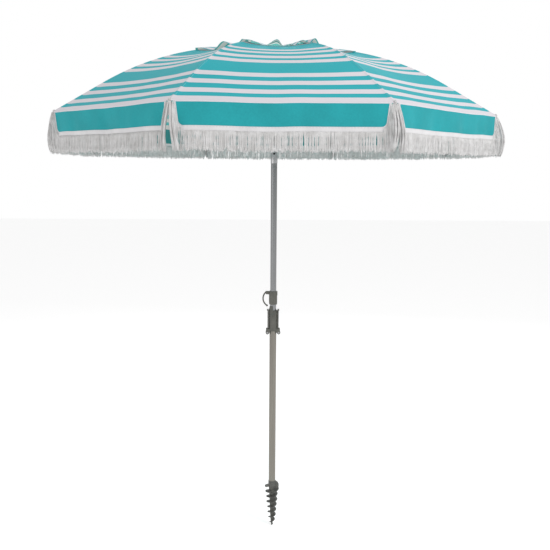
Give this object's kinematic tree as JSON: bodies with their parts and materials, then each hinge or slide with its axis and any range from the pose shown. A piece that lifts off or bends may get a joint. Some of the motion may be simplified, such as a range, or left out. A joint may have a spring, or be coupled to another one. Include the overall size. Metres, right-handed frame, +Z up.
{
  "type": "beach umbrella",
  "caption": "Beach umbrella with a ribbed, striped, fringed canopy, vent cap, tilt joint, telescopic pole, bag hook, fold-out handles and sand auger.",
  "frame": {"origin": "tip of the sand auger, on the axis of the pole", "axes": "+Z up along the pole, -Y towards the middle of the front panel, bag hook towards -X"},
  "size_m": [1.7124, 1.7124, 2.2237],
  "materials": {
    "pole_aluminium": "satin anodised, extruded",
    "lower_pole_aluminium": "dull satin",
    "auger_plastic": "moulded, scuffed by sand",
    "fitting_plastic": "moulded, grey-green",
    "button_plastic": "moulded",
    "zinc_fasteners": "zinc plated",
    "tilt_sleeve_metal": "polished",
    "tongue_metal": "die cast",
    "hub_plastic": "moulded",
    "spring_steel": "bright",
    "rib_steel": "zinc plated wire",
    "tip_plastic": "moulded",
    "canopy_cloth": "woven polyester, turquoise with white stripes",
    "valance_fringe": "turquoise flap with white tape and fringe"
  },
  "bodies": {
    "lower_pole": {"lower_tube": "lower_pole_aluminium", "auger": "auger_plastic", "handle_housing": "fitting_plastic", "handle_pins": "zinc_fasteners", "height_spring": "spring_steel"},
    "left_handle": {"handle_left": "fitting_plastic"},
    "right_handle": {"handle_right": "fitting_plastic"},
    "height_lock_button": {"height_button": "button_plastic"},
    "upper_pole": {"upper_tube": "pole_aluminium", "hook_collar": "fitting_plastic", "collar_screw": "zinc_fasteners", "tilt_socket": "tilt_sleeve_metal", "tilt_pin": "zinc_fasteners"},
    "tilt_lock_button": {"tilt_button": "button_plastic"},
    "top_pole": {"top_tube": "pole_aluminium", "tilt_tongue": "tongue_metal", "hub": "hub_plastic", "top_cap": "hub_plastic", "runner_catch": "spring_steel"},
    "sliding_runner": {"runner": "hub_plastic"},
    "rib_arm_1": {"rib_1": "rib_steel", "rib_tip_1": "tip_plastic", "canopy_1": "canopy_cloth"},
    "rib_arm_2": {"rib_2": "rib_steel", "rib_tip_2": "tip_plastic", "canopy_2": "canopy_cloth"},
    "rib_arm_3": {"rib_3": "rib_steel", "rib_tip_3": "tip_plastic", "canopy_3": "canopy_cloth"},
    "rib_arm_4": {"rib_4": "rib_steel", "rib_tip_4": "tip_plastic", "canopy_4": "canopy_cloth"},
    "rib_arm_5": {"rib_5": "rib_steel", "rib_tip_5": "tip_plastic", "canopy_5": "canopy_cloth"},
    "rib_arm_6": {"rib_6": "rib_steel", "rib_tip_6": "tip_plastic", "canopy_6": "canopy_cloth"},
    "rib_arm_7": {"rib_7": "rib_steel", "rib_tip_7": "tip_plastic", "canopy_7": "canopy_cloth"},
    "rib_arm_8": {"rib_8": "rib_steel", "rib_tip_8": "tip_plastic", "canopy_8": "canopy_cloth"},
    "stretcher_arm_1": {"stretcher_1": "rib_steel"},
    "stretcher_arm_2": {"stretcher_2": "rib_steel"},
    "stretcher_arm_3": {"stretcher_3": "rib_steel"},
    "stretcher_arm_4": {"stretcher_4": "rib_steel"},
    "stretcher_arm_5": {"stretcher_5": "rib_steel"},
    "stretcher_arm_6": {"stretcher_6": "rib_steel"},
    "stretcher_arm_7": {"stretcher_7": "rib_steel"},
    "stretcher_arm_8": {"stretcher_8": "rib_steel"},
    "flap_1": {"valance_1": "valance_fringe"},
    "flap_2": {"valance_2": "valance_fringe"},
    "flap_3": {"valance_3": "valance_fringe"},
    "flap_4": {"valance_4": "valance_fringe"},
    "flap_5": {"valance_5": "valance_fringe"},
    "flap_6": {"valance_6": "valance_fringe"},
    "flap_7": {"valance_7": "valance_fringe"},
    "flap_8": {"valance_8": "valance_fringe"}
  },
  "joints": [
    {"name": "left_handle_hinge", "type": "hinge", "parent": "lower_pole", "child": "left_handle", "pos_m": [-0.026, 0, 0.958], "axis": [0, -1, 0], "range_deg": [0, 90]},
    {"name": "right_handle_hinge", "type": "hinge", "parent": "lower_pole", "child": "right_handle", "pos_m": [0.026, 0, 0.958], "axis": [0, 1, 0], "range_deg": [0, 90]},
    {"name": "height_button_press", "type": "slide", "parent": "lower_pole", "child": "height_lock_button", "axis": [0, 1, 0], "range_m": [0, 0.0025], "stiffness_N_per_m": 400},
    {"name": "height_slide", "type": "slide", "parent": "lower_pole", "child": "upper_pole", "axis": [0, 0, 1], "range_m": [0, 0.3], "deforming": ["height_spring"]},
    {"name": "tilt_button_press", "type": "slide", "parent": "upper_pole", "child": "tilt_lock_button", "axis": [0, 1, 0], "range_m": [0, 0.0015], "stiffness_N_per_m": 400},
    {"name": "tilt_hinge", "type": "hinge", "parent": "upper_pole", "child": "top_pole", "pos_m": [0, 0, 1.785], "axis": [0, 1, 0], "range_deg": [0, 35]},
    {"name": "fold", "type": "slide", "parent": "top_pole", "child": "sliding_runner", "axis": [0, 0, 1], "range_m": [-0.5092, 0], "deforming": ["runner_catch", "canopy_1", "canopy_2", "canopy_3", "canopy_4", "canopy_5", "canopy_6", "canopy_7", "canopy_8", "valance_1", "valance_2", "valance_3", "valance_4", "valance_5", "valance_6", "valance_7", "valance_8"]},
    {"name": "rib_hinge_1", "type": "hinge", "parent": "top_pole", "child": "rib_arm_1", "pos_m": [-0.00765, -0.01848, 2.204], "axis": [0.9239, -0.3827, 0], "range_deg": [0, 70.66]},
    {"name": "rib_hinge_2", "type": "hinge", "parent": "top_pole", "child": "rib_arm_2", "pos_m": [0.00765, -0.01848, 2.204], "axis": [0.9239, 0.3827, 0], "range_deg": [0, 70.66]},
    {"name": "rib_hinge_3", "type": "hinge", "parent": "top_pole", "child": "rib_arm_3", "pos_m": [0.01848, -0.00765, 2.204], "axis": [0.3827, 0.9239, 0], "range_deg": [0, 70.66]},
    {"name": "rib_hinge_4", "type": "hinge", "parent": "top_pole", "child": "rib_arm_4", "pos_m": [0.01848, 0.00765, 2.204], "axis": [-0.3827, 0.9239, 0], "range_deg": [0, 70.66]},
    {"name": "rib_hinge_5", "type": "hinge", "parent": "top_pole", "child": "rib_arm_5", "pos_m": [0.00765, 0.01848, 2.204], "axis": [-0.9239, 0.3827, 0], "range_deg": [0, 70.66]},
    {"name": "rib_hinge_6", "type": "hinge", "parent": "top_pole", "child": "rib_arm_6", "pos_m": [-0.00765, 0.01848, 2.204], "axis": [-0.9239, -0.3827, 0], "range_deg": [0, 70.66]},
    {"name": "rib_hinge_7", "type": "hinge", "parent": "top_pole", "child": "rib_arm_7", "pos_m": [-0.01848, 0.00765, 2.204], "axis": [-0.3827, -0.9239, 0], "range_deg": [0, 70.66]},
    {"name": "rib_hinge_8", "type": "hinge", "parent": "top_pole", "child": "rib_arm_8", "pos_m": [-0.01848, -0.00765, 2.204], "axis": [0.3827, -0.9239, 0], "range_deg": [0, 70.66]},
    {"name": "stretcher_hinge_1", "type": "hinge", "parent": "sliding_runner", "child": "stretcher_arm_1", "pos_m": [-0.00842, -0.02032, 1.874], "axis": [0.9239, -0.3827, 0], "range_deg": [-43.48, 0]},
    {"name": "stretcher_hinge_2", "type": "hinge", "parent": "sliding_runner", "child": "stretcher_arm_2", "pos_m": [0.00842, -0.02032, 1.874], "axis": [0.9239, 0.3827, 0], "range_deg": [-43.48, 0]},
    {"name": "stretcher_hinge_3", "type": "hinge", "parent": "sliding_runner", "child": "stretcher_arm_3", "pos_m": [0.02032, -0.00842, 1.874], "axis": [0.3827, 0.9239, 0], "range_deg": [-43.48, 0]},
    {"name": "stretcher_hinge_4", "type": "hinge", "parent": "sliding_runner", "child": "stretcher_arm_4", "pos_m": [0.02032, 0.00842, 1.874], "axis": [-0.3827, 0.9239, 0], "range_deg": [-43.48, 0]},
    {"name": "stretcher_hinge_5", "type": "hinge", "parent": "sliding_runner", "child": "stretcher_arm_5", "pos_m": [0.00842, 0.02032, 1.874], "axis": [-0.9239, 0.3827, 0], "range_deg": [-43.48, 0]},
    {"name": "stretcher_hinge_6", "type": "hinge", "parent": "sliding_runner", "child": "stretcher_arm_6", "pos_m": [-0.00842, 0.02032, 1.874], "axis": [-0.9239, -0.3827, 0], "range_deg": [-43.48, 0]},
    {"name": "stretcher_hinge_7", "type": "hinge", "parent": "sliding_runner", "child": "stretcher_arm_7", "pos_m": [-0.02032, 0.00842, 1.874], "axis": [-0.3827, -0.9239, 0], "range_deg": [-43.48, 0]},
    {"name": "stretcher_hinge_8", "type": "hinge", "parent": "sliding_runner", "child": "stretcher_arm_8", "pos_m": [-0.02032, -0.00842, 1.874], "axis": [0.3827, -0.9239, 0], "range_deg": [-43.48, 0]},
    {"name": "flap_swing_1", "type": "hinge", "parent": "rib_arm_1", "child": "flap_1", "pos_m": [-0.35322, -0.85274, 1.92041], "axis": [0.9239, -0.3827, 0], "range_deg": [-70.66, 0]},
    {"name": "flap_swing_2", "type": "hinge", "parent": "rib_arm_2", "child": "flap_2", "pos_m": [0.35322, -0.85274, 1.92041], "axis": [0.9239, 0.3827, 0], "range_deg": [-70.66, 0]},
    {"name": "flap_swing_3", "type": "hinge", "parent": "rib_arm_3", "child": "flap_3", "pos_m": [0.85274, -0.35322, 1.92041], "axis": [0.3827, 0.9239, 0], "range_deg": [-70.66, 0]},
    {"name": "flap_swing_4", "type": "hinge", "parent": "rib_arm_4", "child": "flap_4", "pos_m": [0.85274, 0.35322, 1.92041], "axis": [-0.3827, 0.9239, 0], "range_deg": [-70.66, 0]},
    {"name": "flap_swing_5", "type": "hinge", "parent": "rib_arm_5", "child": "flap_5", "pos_m": [0.35322, 0.85274, 1.92041], "axis": [-0.9239, 0.3827, 0], "range_deg": [-70.66, 0]},
    {"name": "flap_swing_6", "type": "hinge", "parent": "rib_arm_6", "child": "flap_6", "pos_m": [-0.35322, 0.85274, 1.92041], "axis": [-0.9239, -0.3827, 0], "range_deg": [-70.66, 0]},
    {"name": "flap_swing_7", "type": "hinge", "parent": "rib_arm_7", "child": "flap_7", "pos_m": [-0.85274, 0.35322, 1.92041], "axis": [-0.3827, -0.9239, 0], "range_deg": [-70.66, 0]},
    {"name": "flap_swing_8", "type": "hinge", "parent": "rib_arm_8", "child": "flap_8", "pos_m": [-0.85274, -0.35322, 1.92041], "axis": [0.3827, -0.9239, 0], "range_deg": [-70.66, 0]}
  ],
  "couplings": [
    {"joint": "rib_hinge_1", "follows": "fold", "rad_per_m": -2.4172},
    {"joint": "rib_hinge_2", "follows": "fold", "rad_per_m": -2.4172},
    {"joint": "rib_hinge_3", "follows": "fold", "rad_per_m": -2.4172},
    {"joint": "rib_hinge_4", "follows": "fold", "rad_per_m": -2.4172},
    {"joint": "rib_hinge_5", "follows": "fold", "rad_per_m": -2.4172},
    {"joint": "rib_hinge_6", "follows": "fold", "rad_per_m": -2.4172},
    {"joint": "rib_hinge_7", "follows": "fold", "rad_per_m": -2.4172},
    {"joint": "rib_hinge_8", "follows": "fold", "rad_per_m": -2.4172},
    {"joint": "stretcher_hinge_1", "follows": "fold", "rad_per_m": 1.4873},
    {"joint": "stretcher_hinge_2", "follows": "fold", "rad_per_m": 1.4873},
    {"joint": "stretcher_hinge_3", "follows": "fold", "rad_per_m": 1.4873},
    {"joint": "stretcher_hinge_4", "follows": "fold", "rad_per_m": 1.4873},
    {"joint": "stretcher_hinge_5", "follows": "fold", "rad_per_m": 1.4873},
    {"joint": "stretcher_hinge_6", "follows": "fold", "rad_per_m": 1.4873},
    {"joint": "stretcher_hinge_7", "follows": "fold", "rad_per_m": 1.4873},
    {"joint": "stretcher_hinge_8", "follows": "fold", "rad_per_m": 1.4873},
    {"joint": "flap_swing_1", "follows": "fold", "rad_per_m": 2.4172},
    {"joint": "flap_swing_2", "follows": "fold", "rad_per_m": 2.4172},
    {"joint": "flap_swing_3", "follows": "fold", "rad_per_m": 2.4172},
    {"joint": "flap_swing_4", "follows": "fold", "rad_per_m": 2.4172},
    {"joint": "flap_swing_5", "follows": "fold", "rad_per_m": 2.4172},
    {"joint": "flap_swing_6", "follows": "fold", "rad_per_m": 2.4172},
    {"joint": "flap_swing_7", "follows": "fold", "rad_per_m": 2.4172},
    {"joint": "flap_swing_8", "follows": "fold", "rad_per_m": 2.4172}
  ]
}
